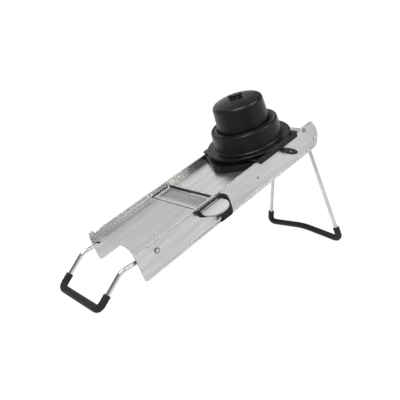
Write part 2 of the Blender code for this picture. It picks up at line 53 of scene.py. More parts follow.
def deck_matrix():
    """u along the deck, v across it, w normal to it; origin at the walls' low lower corner."""
    along = Vector(JOINTS["carriage_run"]["axis"]).normalized()
    normal = Vector(JOINTS["pusher_lift"]["axis"]).normalized()
    across = normal.cross(along)
    points = [v.co for side, _ in SIDES for v in NODES[f"side_wall_{side}"].data.vertices]
    heights = [p.dot(normal) for p in points]
    lengths = [p.dot(along) for p in points]
    widths = [p.dot(across) for p in points]
    origin = along * min(lengths) + normal * min(heights)
    origin += across * ((min(widths) + max(widths)) / 2)
    matrix = Matrix((along, across, normal)).transposed().to_4x4()
    return Matrix.Translation(origin) @ matrix


DECK = deck_matrix()
TO_DECK = DECK.inverted()


def span(node):
    """A CAD node's lowest and highest deck coordinates, in millimetres."""
    points = [TO_DECK @ v.co / MM for v in NODES[node].data.vertices]
    low = Vector([min(p[i] for p in points) for i in range(3)])
    high = Vector([max(p[i] for p in points) for i in range(3)])
    return low, high


def middle(node):
    """The middle of a CAD node in deck coordinates."""
    low, high = span(node)
    return (low + high) / 2


def axis_of(joint):
    """Where a hinge sits in the deck's u and w, in millimetres."""
    point = TO_DECK @ Vector(JOINTS[joint]["pos_m"]) / MM
    return point.x, point.z


# ---------------------------------------------------------------- placing pieces

def place(obj, local=None):
    """Links a mesh object and moves its mesh from its place on the deck into the shared frame."""
    bpy.context.scene.collection.objects.link(obj)
    obj.data.transform(DECK @ local if local is not None else DECK)
    return obj


def at(u=0.0, v=0.0, w=0.0):
    """A shift by deck coordinates in millimetres."""
    return Matrix.Translation(Vector((u, v, w)) * MM)


UPRIGHT = Matrix.Rotation(math.pi / 2, 4, "X")      # a flat outline's x, y become u, w
OUTWARD = {-1.0: Matrix.Rotation(math.pi / 2, 4, "X"), 1.0: Matrix.Rotation(-math.pi / 2, 4, "X")}


def piece(obj, body, material, slot, *nodes):
    """The piece takes its material, rides on its body and stands for its CAD nodes."""
    obj.data.materials.clear()
    obj.data.materials.append(material)
    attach(obj, body)
    if nodes:
        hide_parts(*nodes)
    return obj


def repaint(node, material):
    """A CAD node that keeps its own shape takes a material of this script."""
    NODES[node].data.materials.clear()
    NODES[node].data.materials.append(material)


# ---------------------------------------------------------------- shapes

def shade(obj):
    """Smooth faces, with the normals led by the large ones."""
    for poly in obj.data.polygons:
        poly.use_smooth = True
    even = obj.modifiers.new("Even", "WEIGHTED_NORMAL")
    even.weight = 90
    even.keep_sharp = True
    return obj


def new_mesh(name, bm, local=None):
    """A bmesh as a placed object, with its faces turned outward."""
    bmesh.ops.recalc_face_normals(bm, faces=bm.faces)
    if bm.calc_volume(signed=True) < 0:
        bmesh.ops.reverse_faces(bm, faces=bm.faces)
    mesh = bpy.data.meshes.new(name)
    bm.to_mesh(mesh)
    bm.free()
    return place(bpy.data.objects.new(name, mesh), local)


def from_curve(curve, name, local):
    """A curve's evaluated form as a welded mesh piece."""
    holder = bpy.data.objects.new(name + "_curve", curve)
    bpy.context.scene.collection.objects.link(holder)
    bpy.context.view_layer.update()
    graph = bpy.context.evaluated_depsgraph_get()
    mesh = bpy.data.meshes.new_from_object(holder.evaluated_get(graph))
    bpy.data.objects.remove(holder, do_unlink=True)
    bpy.data.curves.remove(curve)
    bm = bmesh.new()
    bm.from_mesh(mesh)
    bpy.data.meshes.remove(mesh)
    bmesh.ops.remove_doubles(bm, verts=bm.verts, dist=WELD)
    return new_mesh(name, bm, local)


def sheet(name, outlines, thickness, edge, local, rounds=2):
    """Flat outlines (the first is the edge, the rest are holes) with softened edges."""
    curve = bpy.data.curves.new(name, "CURVE")
    curve.dimensions = "2D"
    curve.fill_mode = "BOTH"
    curve.extrude = (thickness / 2 - edge) * MM
    curve.bevel_depth = edge * MM
    curve.bevel_resolution = rounds
    curve.offset = -edge * MM
    for outline in outlines:
        spline = curve.splines.new("POLY")
        spline.points.add(len(outline) - 1)
        for point, (x, y) in zip(spline.points, outline):
            point.co = (x * MM, y * MM, 0, 1)
        spline.use_cyclic_u = True
    return shade(from_curve(curve, name, local))


def tube(name, path, radius, local=None, sides=6, radii=None, cyclic=False):
    """A round bar along a path in millimetres; radii scales it point by point."""
    curve = bpy.data.curves.new(name, "CURVE")
    curve.dimensions = "3D"
    curve.bevel_depth = radius * MM
    curve.bevel_resolution = sides
    curve.use_fill_caps = not cyclic
    curve.twist_mode = "MINIMUM"
    spline = curve.splines.new("POLY")
    spline.points.add(len(path) - 1)
    for i, (point, where) in enumerate(zip(spline.points, path)):
        point.co = (*(Vector(where) * MM), 1)
        point.radius = 1.0 if radii is None else radii[i]
    spline.use_cyclic_u = cyclic
    return shade(from_curve(curve, name, local))


def turned(name, profile, local, steps=96):
    """A closed (radius, height) outline turned about local Z."""
    bm = bmesh.new()
    rings = []
    for i in range(steps):
        a = 2 * math.pi * i / steps
        ring = [bm.verts.new((r * math.cos(a) * MM, r * math.sin(a) * MM, h * MM))
                for r, h in profile]
        rings.append(ring)
    count = len(profile)
    for i in range(steps):
        here, after = rings[i], rings[(i + 1) % steps]
        for k in range(count):
            n = (k + 1) % count
            if profile[k][0] > 0 or profile[n][0] > 0:
                bm.faces.new((here[k], after[k], after[n], here[n]))
    bmesh.ops.remove_doubles(bm, verts=bm.verts, dist=0.0000005)
    bmesh.ops.dissolve_degenerate(bm, edges=bm.edges, dist=0.0000001)
    return shade(new_mesh(name, bm, local))


def block(name, low, high, edge, local=None, rounds=3):
    """A box between two corners with rounded edges."""
    bm = bmesh.new()
    bmesh.ops.create_cube(bm, size=1.0)
    low_v, high_v = Vector(low), Vector(high)
    bmesh.ops.scale(bm, vec=(high_v - low_v) * MM, verts=bm.verts)
    bmesh.ops.translate(bm, vec=(high_v + low_v) / 2 * MM, verts=bm.verts)
    bmesh.ops.bevel(bm, geom=bm.edges[:], offset=edge * MM, segments=rounds, profile=0.5,
                    affect="EDGES")
    return shade(new_mesh(name, bm, local))


def cut(obj, cutters):
    """Takes the cutters out of the piece and applies the result to its mesh."""
    for cutter in cutters:
        mod = obj.modifiers.new("Cut", "BOOLEAN")
        mod.operation = "DIFFERENCE"
        mod.solver = "EXACT"
        mod.object = cutter
    evens = [m for m in obj.modifiers if m.type == "WEIGHTED_NORMAL"]
    for mod in evens:
        obj.modifiers.remove(mod)
    bpy.context.view_layer.update()
    graph = bpy.context.evaluated_depsgraph_get()
    mesh = bpy.data.meshes.new_from_object(obj.evaluated_get(graph))
    obj.modifiers.clear()
    obj.data = mesh
    for cutter in cutters:
        bpy.data.objects.remove(cutter, do_unlink=True)
    return shade(obj)


def arc(cx, cy, radius, start, end, count):
    """Points along an arc; the angles are in degrees."""
    points = []
    for i in range(count + 1):
        a = math.radians(start + (end - start) * i / count)
        points.append((cx + radius * math.cos(a), cy + radius * math.sin(a)))
    return points


def circle(cx, cy, radius, count=40):
    return arc(cx, cy, radius, 0, 360, count)[:-1]


def rounded_rectangle(x0, x1, y0, y1, radius, count=6):
    points = []
    for cx, cy, start in ((x1 - radius, y0 + radius, -90), (x1 - radius, y1 - radius, 0),
                          (x0 + radius, y1 - radius, 90), (x0 + radius, y0 + radius, 180)):
        points += arc(cx, cy, radius, start, start + 90, count)
    return points


def rounded_path(corners, radii, steps=12):
    """A path through 3-D corners, each inner one rounded to its own radius."""
    pts = [Vector(c) for c in corners]
    path = [pts[0]]
    for i in range(1, len(pts) - 1):
        back = (pts[i - 1] - pts[i]).normalized()
        ahead = (pts[i + 1] - pts[i]).normalized()
        half = back.angle(ahead) / 2
        radius = radii[i - 1]
        centre = pts[i] + (back + ahead).normalized() * (radius / math.sin(half))
        first = (pts[i] + back * (radius / math.tan(half)) - centre).normalized()
        last = (pts[i] + ahead * (radius / math.tan(half)) - centre).normalized()
        for k in range(steps + 1):
            path.append(centre + first.slerp(last, k / steps) * radius)
    path.append(pts[-1])
    return path


def rounded_outline(corners, radii, steps=6):
    """A closed 2-D outline with its corners rounded."""
    count = len(corners)
    outline = []
    for i in range(count):
        before, here, after = corners[i - 1], corners[i], corners[(i + 1) % count]
        if radii[i] <= 0:
            outline.append(here)
            continue
        part = rounded_path([(*before, 0), (*here, 0), (*after, 0)], [radii[i]], steps)
        outline += [(p.x, p.y) for p in part[1:-1]]
    return outline


# ---------------------------------------------------------------- materials

def node_material(name):
    """A new material, its node tree and its shader."""
    mat = bpy.data.materials.new(name)
    mat.use_nodes = True
    tree = mat.node_tree
    return mat, tree, tree.nodes["Principled BSDF"]


def noise_field(tree, scale, stretch, detail=4.0, roughness=0.55):
    """A noise texture on the deck's own axes, stretched per axis."""
    coords = tree.nodes.new("ShaderNodeTexCoord")
    mapping = tree.nodes.new("ShaderNodeMapping")
    mapping.vector_type = "TEXTURE"
    mapping.inputs["Rotation"].default_value = DECK.to_euler()
    mapping.inputs["Scale"].default_value = [1.0 / s for s in stretch]
    field = tree.nodes.new("ShaderNodeTexNoise")
    field.inputs["Scale"].default_value = scale
    field.inputs["Detail"].default_value = detail
    field.inputs["Roughness"].default_value = roughness
    tree.links.new(coords.outputs["Object"], mapping.inputs["Vector"])
    tree.links.new(mapping.outputs["Vector"], field.inputs["Vector"])
    return field


def ramp_between(tree, field, low, high, start=0.3, end=0.7):
    """Maps a field's middle range to two values or two colours."""
    ramp = tree.nodes.new("ShaderNodeValToRGB")
    ramp.color_ramp.elements[0].position = start
    ramp.color_ramp.elements[1].position = end
    for element, value in zip(ramp.color_ramp.elements, (low, high)):
        element.color = (*value, 1.0) if hasattr(value, "__len__") else (value, value, value, 1.0)
    tree.links.new(field.outputs["Fac"], ramp.inputs["Fac"])
    return ramp


def bump_from(tree, fields, shader):
    """Chains bump nodes: fields is a list of (field, strength, distance)."""
    last = None
    for field, strength, distance in fields:
        bump = tree.nodes.new("ShaderNodeBump")
        bump.inputs["Strength"].default_value = strength
        bump.inputs["Distance"].default_value = distance
        tree.links.new(field.outputs["Fac"], bump.inputs["Height"])
        if last is not None:
            tree.links.new(last.outputs["Normal"], bump.inputs["Normal"])
        last = bump
    tree.links.new(last.outputs["Normal"], shader.inputs["Normal"])


ALONG_DECK, ACROSS_DECK = (2.0, 90.0, 90.0), (90.0, 2.0, 90.0)     # how the grain is stretched


def steel(name, dark, light, rough, grain=ALONG_DECK):
    """Rolled stainless sheet: a fine grain along one axis, long streaks and faint smudges."""
    grain_depth, smudge_depth = 0.00003, 0.0004
    mat, tree, shader = node_material(name)
    fine = noise_field(tree, 60.0, grain, 6.0, 0.6)
    streaks = noise_field(tree, 9.0, [max(1.0, s / 8) for s in grain], 5.0, 0.62)
    smudge = noise_field(tree, 14.0, (1.0, 1.0, 1.0), 3.0, 0.5)
    colour = ramp_between(tree, streaks, dark, light, 0.32, 0.68)
    gloss = ramp_between(tree, fine, rough[0], rough[1])
    tree.links.new(colour.outputs["Color"], shader.inputs["Base Color"])
    tree.links.new(gloss.outputs["Color"], shader.inputs["Roughness"])
    bump_from(tree, [(fine, 0.14, grain_depth), (smudge, 0.14, smudge_depth)], shader)
    shader.inputs["Metallic"].default_value = 1.0
    return mat


def wire_steel(name):
    """Drawn and polished wire, with faint marks."""
    mat, tree, shader = node_material(name)
    marks = noise_field(tree, 300.0, (1.0, 1.0, 1.0), 5.0, 0.6)
    smudge = noise_field(tree, 30.0, (1.0, 1.0, 1.0), 2.0, 0.5)
    colour = ramp_between(tree, smudge, (0.48, 0.48, 0.47), (0.62, 0.62, 0.62))
    gloss = ramp_between(tree, marks, 0.11, 0.20)
    tree.links.new(colour.outputs["Color"], shader.inputs["Base Color"])
    tree.links.new(gloss.outputs["Color"], shader.inputs["Roughness"])
    bump_from(tree, [(marks, 0.06, 0.0001)], shader)
    shader.inputs["Metallic"].default_value = 1.0
    return mat


def plastic(name, dark, light, rough, level, texture_depth=0.00012, texture_scale=2600.0):
    """Moulded plastic: a fine spark texture, slight flow marks and handling sheen."""
    mat, tree, shader = node_material(name)
    spark = noise_field(tree, texture_scale, (1.0, 1.0, 1.0), 3.0, 0.6)
    flow = noise_field(tree, 22.0, (1.0, 1.0, 1.0), 4.0, 0.55)
    colour = ramp_between(tree, flow, dark, light)
    gloss = ramp_between(tree, flow, rough[0], rough[1])
    tree.links.new(colour.outputs["Color"], shader.inputs["Base Color"])
    tree.links.new(gloss.outputs["Color"], shader.inputs["Roughness"])
    bump_from(tree, [(spark, 0.12, texture_depth)], shader)
    shader.inputs["Specular IOR Level"].default_value = level
    return mat


WALL_STEEL = steel("wall_steel", (0.44, 0.44, 0.43), (0.58, 0.58, 0.57), (0.28, 0.38))
TABLE_STEEL = steel("table_steel", (0.50, 0.50, 0.50), (0.60, 0.60, 0.60), (0.26, 0.38))
FEED_STEEL = steel("feed_steel", (0.58, 0.58, 0.57), (0.72, 0.72, 0.71), (0.26, 0.36))
RAIL_STEEL = steel("rail_steel", (0.44, 0.44, 0.43), (0.54, 0.54, 0.54), (0.44, 0.52))
# Dark steel for the fasteners, and for the thin tubes painted as shade at the hem crease and under
# the rail edges.
DARK_STEEL = steel("fastener_and_painted_shade_steel", (0.20, 0.20, 0.20), (0.30, 0.30, 0.30), (0.26, 0.40))
# Near-black steel: painted shade for the feed table's turned-down low edge.
EDGE_SHADE_STEEL = steel("painted_shade_edge_steel", (0.03, 0.03, 0.03), (0.06, 0.06, 0.06), (0.50, 0.62))
BLADE_STEEL = steel("blade_steel", (0.27, 0.28, 0.29), (0.37, 0.38, 0.39), (0.20, 0.30),
                    ACROSS_DECK)
# Near-white steel for the blade's ground facets: a painted highlight standing for the white
# reflections in them.
FACET_HIGHLIGHT_STEEL = steel("ground_facet_painted_highlight", (0.82, 0.83, 0.84), (0.92, 0.92, 0.92), (0.26, 0.34))
WIRE = wire_steel("leg_wire_steel")
BLACK = plastic("pusher_plastic", (0.0020, 0.0020, 0.0022), (0.0034, 0.0034, 0.0037),
                (0.30, 0.38), 0.22)
BLACK_GLOSS = plastic("lever_plastic", (0.0040, 0.0040, 0.0044), (0.0065, 0.0065, 0.0070),
                      (0.16, 0.24), 0.30)
RUBBER = plastic("sleeve_rubber", (0.0075, 0.0075, 0.0080), (0.0125, 0.0125, 0.0132),
                 (0.50, 0.64), 0.25, 0.0003, 1400.0)
PALE = plastic("tab_plastic", (0.335, 0.34, 0.335), (0.395, 0.40, 0.395), (0.28, 0.38), 0.45)


# ---------------------------------------------------------------- side walls, rails and tables

WALL_LOW, WALL_HIGH = span("side_wall_near")
WALL_H = WALL_HIGH.z
WALL_T = WALL_HIGH.y - WALL_LOW.y
WALL_OUT = -WALL_LOW.y
WIRE_R = 3.4
GRIP_FACE = 70.4            # the outer face of the cartridge's grip
SHADE_LINE_R = 0.3                # thin dark tubes painted as shade where two sheets meet
TABLE_LOW, TABLE_HIGH = span("table_lower")
TABLE_TOP = TABLE_HIGH.z


def wall_outline():
    """Square low end with one small round, quarter-round high end: the CAD wall's own shape."""
    low_round = 5.0
    low_end = arc(low_round, low_round, low_round, 270, 180, 8) + [(0.0, WALL_H)]
    top_corner = [(402.0, WALL_H)]
    high_round = arc(372.5, 22.0, 37.2, 28, -8, 16)
    high_base = arc(391.5, 14.5, 15.0, -12, -86, 14)
    return low_end + top_corner + high_round + high_base


def side_walls():
    """Each wall is a sheet with its holes, a folded hem outside its low edge and a thin dark tube
    along the hem's crease as painted shade.
    """
    frame_low, frame_high = span("cartridge_frame")
    slack, headroom = 0.6, 3.4          # round the cartridge, and above it
    window = rounded_rectangle(frame_low.x - slack, frame_high.x + slack, frame_low.z - slack,
                               frame_high.z + headroom, 1.0)
    wire_hole, shaft_hole, screw_hole = WIRE_R + 0.35, 3.3, 2.3
    holes = [window, circle(*axis_of("front_leg_fold"), wire_hole, 28),
             circle(*axis_of("rear_leg_fold"), wire_hole, 28),
             circle(*axis_of("lever_turn"), shaft_hole, 28),
             circle(*axis_of("feed_tilt"), screw_hole, 24)]
    hem_w, hem_t = 3.3, 0.9
    hem_base = 0.15                     # the hem's lower edge; it also stands out by this
    for side, sign in SIDES:
        local = at(v=sign * (WALL_OUT - WALL_T / 2)) @ UPRIGHT
        wall = sheet(f"wall_sheet_{side}", [wall_outline(), *holes], WALL_T, 0.25, local)
        piece(wall, "frame", WALL_STEEL, "sheet_steel", f"side_wall_{side}")
        hem_line = [(4.0, hem_base), (392.0, hem_base), (397.5, hem_w), (2.2, hem_w)]
        hem = sheet(f"wall_hem_{side}", [hem_line], hem_t, 0.4,
                    at(v=sign * (WALL_OUT + hem_base)) @ UPRIGHT, 3)
        piece(hem, "frame", WALL_STEEL, "sheet_steel")
        # A thin dark tube on the wall along the hem's top edge: painted shade for the crease.
        crease = tube(f"wall_crease_{side}", [(2.2, 0, hem_w + 0.25), (397.6, 0, hem_w + 0.25)],
                      SHADE_LINE_R, at(v=sign * WALL_OUT), sides=2)
        piece(crease, "frame", DARK_STEEL, "sheet_steel")


def rails():
    """A strip along the top of each wall, thin dark tubes under its edges as painted shade, and
    the far end stop.
    """
    for side, _ in SIDES:
        low, high = span(f"guide_rail_{side}")
        rail = block(f"rail_strip_{side}", low, high, 0.6)
        piece(rail, "frame", RAIL_STEEL, "sheet_steel", f"guide_rail_{side}")
        for name, v in (("low", low.y), ("high", high.y)):
            # Thin dark tubes under the rail's edges: painted shade where the rail meets the wall.
            line = [(low.x + 1, v, low.z), (high.x - 1, v, low.z)]
            seam = tube(f"rail_seam_{side}_{name}", line, SHADE_LINE_R, sides=2)
            piece(seam, "frame", DARK_STEEL, "sheet_steel")
    low, high = span("rail_stop_far")
    stop = block("rail_end_stop", low, high, 0.8)
    piece(stop, "frame", RAIL_STEEL, "sheet_steel", "rail_stop_far")


def low_edge(v, inset=0.0):
    """The lower table's concave low edge, as u against v."""
    half, depth, start = 58.0, 14.5, 0.4
    return depth * max(0.0, 1 - (v / half) ** 2) + start + inset


def lower_table():
    """A sheet with a concave low edge, which has a thin rolled lip."""
    half = TABLE_HIGH.y
    edge = [(low_edge(half * (1 - i / 32)), half * (1 - i / 32)) for i in range(65)]
    outline = edge + [(TABLE_HIGH.x, -half), (TABLE_HIGH.x, half)]
    thick = TABLE_HIGH.z - TABLE_LOW.z
    table = sheet("lower_table_sheet", [outline], thick, 0.2, at(w=TABLE_TOP - thick / 2))
    piece(table, "frame", TABLE_STEEL, "sheet_steel", "table_lower")
    lip_path = [(low_edge(v, 0.7), v, TABLE_TOP - 0.85) for v in
                [half * 0.985 * (1 - i / 32) for i in range(65)]]
    lip = tube("lower_table_lip", lip_path, 0.75, sides=3)
    piece(lip, "frame", RAIL_STEEL, "sheet_steel")


def feed_table():
    """A sheet with a turned-down low edge, a row of short slots and a rolled high end."""
    low, high = span("feed_table")
    roll, thick, bend, lip = 8.0, 1.0, 1.6, 6.0
    roll_u = high.x - roll * math.cos(math.radians(15))
    under = TABLE_TOP - thick
    outer = arc(roll_u, TABLE_TOP - roll, roll, 90, 15, 14)
    inner = arc(roll_u, TABLE_TOP - roll, roll - thick, 15, 90, 14)
    low_bend = arc(low.x + bend, TABLE_TOP - bend, bend, 180, 90, 6)
    inside_bend = arc(low.x + bend, TABLE_TOP - bend, bend - thick, 90, 180, 4)
    outline = [*inside_bend, (low.x + thick, TABLE_TOP - lip), (low.x, TABLE_TOP - lip),
               *low_bend, *outer, *inner]
    table = sheet("feed_table_sheet", [outline], high.y - low.y, 0.15, UPRIGHT)
    slots, slot_u, slot_half, slot_t, pitch = 5, 169.6, 4.5, 1.0, 20.0
    cutters = []
    for i in range(slots):
        v = (i - slots // 2) * pitch
        cutters.append(block(f"slot_{i}", (slot_u - slot_t, v - slot_half, under - 5),
                             (slot_u + slot_t, v + slot_half, TABLE_TOP + 5), 0.6))
    cut(table, cutters)
    piece(table, "feed", FEED_STEEL, "sheet_steel", "feed_table")
    # The downhill-facing faces of the turned-down low edge take near-black steel: painted shade
    # that darkens the gap at the blade.
    table.data.materials.append(EDGE_SHADE_STEEL)
    down = DECK.to_3x3() @ Vector((-1.0, 0.0, 0.0))
    for poly in table.data.polygons:
        where = TO_DECK @ poly.center / MM
        if poly.normal.dot(down) > 0.5 and where.z < TABLE_TOP - 0.6 and where.x < low.x + 1:
            poly.material_index = 1
    for side, _ in SIDES:
        lug_low, lug_high = span(f"hinge_lug_{side}")
        lug = block(f"feed_lug_{side}", lug_low, lug_high, 0.35)
        piece(lug, "feed", FEED_STEEL, "sheet_steel", f"hinge_lug_{side}")


# ---------------------------------------------------------------- fasteners

def screw_head(name, radius, height, local, slot_width=0.8):
    """A domed head with a driver slot; local Z points out of it and its seat is at Z = 0."""
    rim = 0.35                          # the share of the height that stands straight
    profile = [(0.0, height)]
    for a in (math.radians(d) for d in range(15, 91, 15)):
        profile.append((radius * math.sin(a), height * (rim + (1 - rim) * math.cos(a))))
    profile += [(radius, 0.0), (0.0, 0.0)]
    head = turned(name, profile, local, 40)
    if slot_width:
        slot = block(name + "_slot", (-radius * 2, -slot_width / 2, height * 0.55),
                     (radius * 2, slot_width / 2, height * 2), slot_width * 0.1, local, 1)
        cut(head, [slot])
    return head


def fasteners():
    """Leg pivots, the feed table's hinge screws, brace rivets and the feed table's two screws."""
    stand_off, flat_gap = 0.3, 0.1      # between a head and the sheet under it
    for side, sign in SIDES:
        for joint, radius in (("front_leg_fold", 4.7), ("rear_leg_fold", 4.2)):
            name = joint[:-5]
            u, w = axis_of(joint)
            local = at(u, sign * (WALL_OUT + stand_off), w) @ OUTWARD[sign]
            front = name == "front_leg"
            head = screw_head(f"head_{name}_{side}", radius, 1.1, local, 0.0)
            piece(head, name, DARK_STEEL if front else WALL_STEEL, "sheet_steel",
                  f"{name}_cap_{side}")
            if front:
                centre = at(u, sign * (WALL_OUT + 1.1), w) @ OUTWARD[sign]
                pin = screw_head(f"pin_end_{side}", 2.3, 0.7, centre, 0.0)
                piece(pin, name, RAIL_STEEL, "sheet_steel")
        u, w = axis_of("feed_tilt")
        local = at(u, sign * (WALL_OUT + stand_off), w) @ OUTWARD[sign]
        head = screw_head(f"head_hinge_{side}", 3.3, 1.4, local, 0.8)
        piece(head, "frame", DARK_STEEL, "bright_wire", f"hinge_screw_{side}")
        rivet = middle(f"brace_rivet_{side}")
        local = at(rivet.x, sign * (WALL_OUT + flat_gap), rivet.z) @ OUTWARD[sign]
        head = screw_head(f"head_brace_rivet_{side}", 2.2, 0.8, local, 0.0)
        piece(head, "frame", DARK_STEEL, "sheet_steel", f"brace_rivet_{side}")
    for name in ("table_screw_low", "table_screw_high"):
        where = middle(name)
        local = at(where.x, where.y, TABLE_TOP + flat_gap)
        head = screw_head(f"head_{name}", 2.3, 0.8, local, 0.7)
        piece(head, "feed", DARK_STEEL, "bright_wire", name)


# ---------------------------------------------------------------- blade cartridge

def blade():
    """Saw teeth downhill, each gullet ground as a long triangular facet pair; a bevel uphill."""
    low, high = span("slicing_blade")
    pitch, depth, facet, groove, bevel_w = 4.2, 2.2, 10.5, 0.35, 5.0
    count = int(round((high.y - low.y) / pitch))
    top, bottom = high.z, low.z
    bm = bmesh.new()

    def vert(u, v, w):
        return bm.verts.new((u * MM, v * MM, w * MM))

    stations = [low.y + pitch * i for i in range(count + 1)]
    gullet = [vert(low.x + depth, v, top - groove) for v in stations]
    gullet_under = [vert(low.x + depth, v, bottom) for v in stations]
    tip = [vert(low.x, v + pitch / 2, top) for v in stations[:-1]]
    tip_under = [vert(low.x, v + pitch / 2, bottom) for v in stations[:-1]]
    apex = [vert(low.x + facet, v, top) for v in stations]
    bevel_top = [vert(high.x - bevel_w, v, top) for v in stations]
    edge = [vert(high.x, v, bottom + 0.15) for v in stations]
    edge_under = [vert(high.x, v, bottom) for v in stations]
    for i in range(count):
        n = i + 1
        # The ground gullet facets go to slot 1, which is painted near-white as a highlight.
        for corners in ((gullet[i], apex[i], tip[i]), (tip[i], apex[n], gullet[n])):
            bm.faces.new(corners).material_index = 1
        bm.faces.new((tip[i], apex[i], apex[n]))
        bm.faces.new((gullet[i], tip[i], tip_under[i], gullet_under[i]))
        bm.faces.new((tip[i], gullet[n], gullet_under[n], tip_under[i]))
        for a, b in ((apex, bevel_top), (bevel_top, edge), (edge, edge_under)):
            bm.faces.new((a[i], b[i], b[n], a[n]))
        bm.faces.new((gullet_under[i], tip_under[i], gullet_under[n], edge_under[n],
                      edge_under[i]))
    for i in (0, count):
        bm.faces.new((gullet[i], apex[i], bevel_top[i], edge[i], edge_under[i], gullet_under[i]))
    obj = new_mesh("slicing_blade_ground", bm)
    ground = [poly.index for poly in obj.data.polygons if poly.material_index == 1]
    piece(obj, "cartridge", BLADE_STEEL, "blade_steel", "slicing_blade")
    # Slot 1 takes the near-white steel: a painted highlight on the ground facets.
    obj.data.materials.append(FACET_HIGHLIGHT_STEEL)
    for index in ground:
        obj.data.polygons[index].material_index = 1


def cartridge():
    """The black frame, open uphill of the blade, its end piece and the blade's clamp bars."""
    blade()
    low, high = span("cartridge_frame")
    throat_u, throat_near, throat_far = 133.0, -51.0, 56.0
    outline = [(low.x, low.y), (high.x, low.y), (high.x, throat_near), (throat_u, throat_near),
               (throat_u, throat_far), (high.x, throat_far), (high.x, high.y), (low.x, high.y)]
    outline = rounded_outline(outline, [1.0, 1.0, 0.8, 2.0, 2.0, 0.8, 1.0, 1.0])
    body = sheet("cartridge_body", [outline], high.z - low.z, 0.5, at(w=(low.z + high.z) / 2))
    piece(body, "cartridge", BLACK, "black_plastic", "cartridge_frame")
    tip_low, tip_high = span("cartridge_tip")
    tip = block("cartridge_end", tip_low, tip_high, 0.8)
    piece(tip, "cartridge", BLACK, "black_plastic", "cartridge_tip")
    for side, _ in SIDES:
        node = f"blade_clamp_{side}"
        clamp_low, clamp_high = span(node)
        clamp = block(f"clamp_bar_{side}", clamp_low, clamp_high, 0.4)
        piece(clamp, "cartridge", TABLE_STEEL, "blade_steel", node)
        where = middle(f"clamp_screw_{side}")
        seat = at(where.x, where.y, clamp_high.z)
        head = screw_head(f"head_clamp_screw_{side}", 2.2, 0.9, seat, 0.6)
        piece(head, "cartridge", RAIL_STEEL, "bright_wire", f"clamp_screw_{side}")
    grip()


def grip():
    """The black grip: a tall ring open at its low side, a shelf behind it and the pale tab."""
    thick = 4.0
    top_and_high_side = [(114.8, 46.2, 1.0), (165.5, 46.2, 4.0), (172.0, 42.6, 5.0),
                         (176.2, 37.2, 6.0), (177.8, 30.0, 10.0), (178.0, 20.0, 14.0),
                         (177.6, 11.5, 10.0), (176.4, 6.0, 3.0)]
    low_hook = [(173.0, 3.8, 1.5), (150.0, 4.6, 0.8), (149.6, 6.8, 0.8), (156.0, 9.4, 2.5),
                (146.8, 20.8, 2.0)]
    opening = [(150.5, 25.5, 2.5), (165.0, 27.5, 2.0), (169.0, 31.5, 2.5), (169.5, 36.0, 3.0),
               (165.0, 43.6, 1.2), (120.4, 43.6, 0.6), (120.0, 34.8, 0.6), (116.4, 34.8, 0.6)]
    ring_line = top_and_high_side + low_hook + opening      # u, w and the corner's radius
    outline = rounded_outline([(u, w) for u, w, _ in ring_line], [r for _, _, r in ring_line], 5)
    ring = sheet("grip_ring", [outline], thick, 1.0, at(v=-(GRIP_FACE - thick / 2)) @ UPRIGHT, 3)
    piece(ring, "cartridge", BLACK, "black_plastic", "cartridge_handle")
    tab_low, tab_high = span("pull_tab")
    radius = (tab_high.x - tab_low.x) / 2
    centre_u = (tab_high.x + tab_low.x) / 2
    centre_v = tab_low.y + radius
    seat = -(WALL_OUT + 0.8)
    shelf_low, shelf_high, shelf_out = 118.8, 171.8, -70.0
    shelf_edge = [(shelf_low, seat), (shelf_low, shelf_out)]
    shelf_edge += arc(centre_u, centre_v, 18.0, 195, 345, 32)
    shelf_edge += [(shelf_high, shelf_out), (shelf_high, seat)]
    shelf = sheet("grip_shelf", [shelf_edge], 2.4, 0.6, at(w=34.6))
    piece(shelf, "cartridge", BLACK, "black_plastic")
    start = math.degrees(math.acos((tab_high.y - centre_v) / radius))
    edge = arc(centre_u, centre_v, radius, 90 + start, 450 - start, 64)
    tab = sheet("thumb_tab", [edge], tab_high.z - tab_low.z, 0.9,
                at(w=(tab_low.z + tab_high.z) / 2), 4)
    piece(tab, "cartridge", PALE, "pale_plastic", "pull_tab")


# ---------------------------------------------------------------- carriage and pusher

def carriage():
    """A plate on the rails with a softened rim, a skirt below it and lips outside the walls."""
    high = span("carriage_plate")[1]
    centre = middle("pusher_housing").x
    half_u, half_v, round_r, round_a = 50.5, 66.0, 70.0, 41.6
    plate_low, skirt_low = 47.1, 38.5
    thick = high.z - plate_low
    plate_hole, skirt_hole = 58.6, 57.6
    outline = [(-half_u, -half_v), (half_u, -half_v), *arc(0, 0, round_r, -round_a, round_a, 24),
               (half_u, half_v), (-half_u, half_v),
               *arc(0, 0, round_r, 180 - round_a, 180 + round_a, 24)]
    plate = sheet("carriage_body", [outline, circle(0, 0, plate_hole, 96)], thick, 1.2,
                  at(centre, 0, plate_low + thick / 2), 4)
    piece(plate, "carriage", BLACK, "black_plastic", "carriage_plate")
    side, nose_u, tail_u = 59.4, -82.5, 62.0        # the skirt points downhill
    half_skirt = [(tail_u, 38.0), (50.0, side), (-54.5, side), (nose_u, 9.0)]
    skirt_edge = [(u, -v) for u, v in reversed(half_skirt)] + half_skirt
    skirt_edge = rounded_outline(skirt_edge, [5.0] * len(skirt_edge))
    skirt_high = plate_low + 0.4
    skirt = sheet("carriage_skirt", [skirt_edge, circle(0, 0, skirt_hole, 96)],
                  skirt_high - skirt_low, 0.8, at(centre, 0, (skirt_high + skirt_low) / 2), 3)
    piece(skirt, "carriage", BLACK, "black_plastic")
    lip_t, lip_low, lip_high = 2.5, 41.0, 48.6
    for name, sign in SIDES:
        v0, v1 = sorted((sign * half_v, sign * (half_v - lip_t)))
        lip = block(f"carriage_lip_{name}", (centre - 46.0, v0, lip_low),
                    (centre + 49.5, v1, lip_high), 0.8)
        piece(lip, "carriage", BLACK, "black_plastic")


